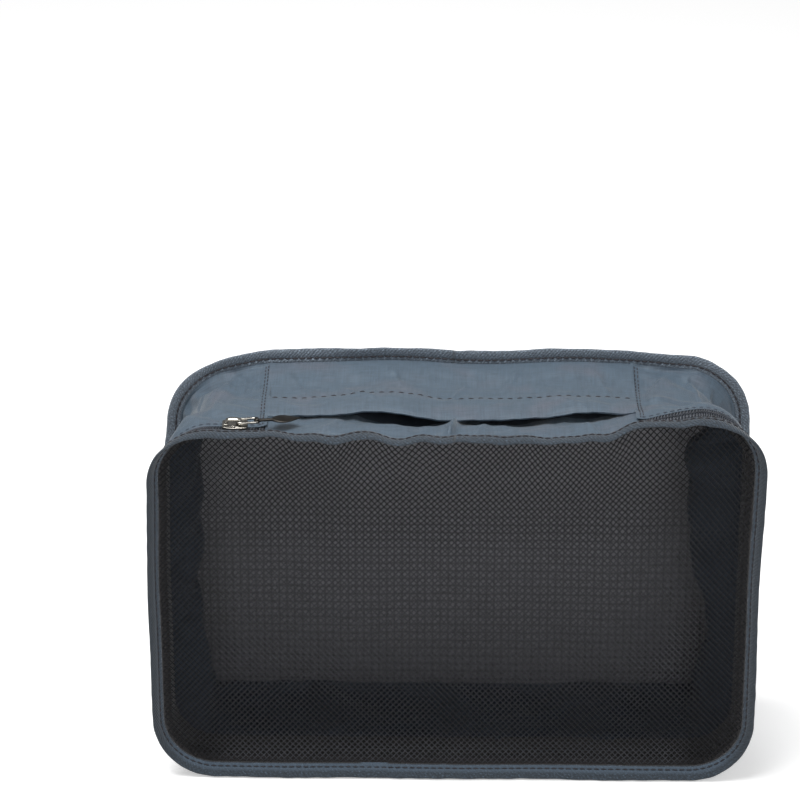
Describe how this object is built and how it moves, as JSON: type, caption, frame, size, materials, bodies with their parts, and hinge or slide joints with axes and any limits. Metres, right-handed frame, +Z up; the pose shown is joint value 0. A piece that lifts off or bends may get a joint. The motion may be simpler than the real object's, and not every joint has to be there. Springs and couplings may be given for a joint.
{
  "type": "packing cube",
  "caption": "Soft rectangular packing cube with a net lid, bound seams, a coil zip round its edge with slider and pull, and a fabric grab handle along the top.",
  "frame": {"origin": "middle of the standing base, on the surface the cube stands on", "axes": "+Z up, +X along the width, -Y towards the net lid, +Y towards the back panel"},
  "size_m": [0.28, 0.08, 0.184],
  "materials": {
    "nylon": "ripstop weave",
    "binding_tape": "woven tape",
    "net": "knitted net",
    "zip_tape": "ribbed tape",
    "zip_coil": "satin",
    "thread": "twisted thread",
    "slider_metal": "polished",
    "tab_metal": "dark gunmetal"
  },
  "bodies": {
    "shell": {"back_panel": "nylon", "back_binding": "binding_tape", "back_binding_thread": "thread", "gusset_band": "nylon", "hinge_panel": "nylon", "end_seam_thread_left": "thread", "end_seam_thread_right": "thread", "zip_tape_body": "zip_tape", "zip_coil_body": "zip_coil", "zip_seam_thread": "thread"},
    "lid": {"mesh_panel": "net", "front_binding": "binding_tape", "front_binding_thread": "thread", "zip_tape_lid": "zip_tape", "zip_coil_lid": "zip_coil", "hinge_strip": "nylon"},
    "handle": {"handle_band": "nylon", "handle_hem_thread": "thread"},
    "slider": {"slider_body": "slider_metal"},
    "link": {"pull_link": "slider_metal"},
    "tab": {"pull_tab": "tab_metal"}
  },
  "joints": [
    {"name": "lid_fold", "type": "hinge", "parent": "shell", "child": "lid", "pos_m": [0, -0.0272, 0.181], "axis": [-1, 0, 0], "range_deg": [0, 180]},
    {"name": "handle_lift", "type": "hinge", "parent": "shell", "child": "handle", "pos_m": [0, 0.036, 0.1783], "axis": [-1, 0, 0], "range_deg": [0, 25]},
    {"name": "zip_slide", "type": "slide", "parent": "shell", "child": "slider", "axis": [-1, 0, 0], "range_m": [0, 0.008]},
    {"name": "link_swing", "type": "hinge", "parent": "slider", "child": "link", "pos_m": [-0.0975, -0.029, 0.1792], "axis": [0.2419, -0.9703, 0], "range_deg": [0, 85]},
    {"name": "tab_swing", "type": "hinge", "parent": "link", "child": "tab", "pos_m": [-0.08878, -0.02683, 0.17873], "axis": [0.2419, -0.9703, 0], "range_deg": [0, 90]}
  ]
}
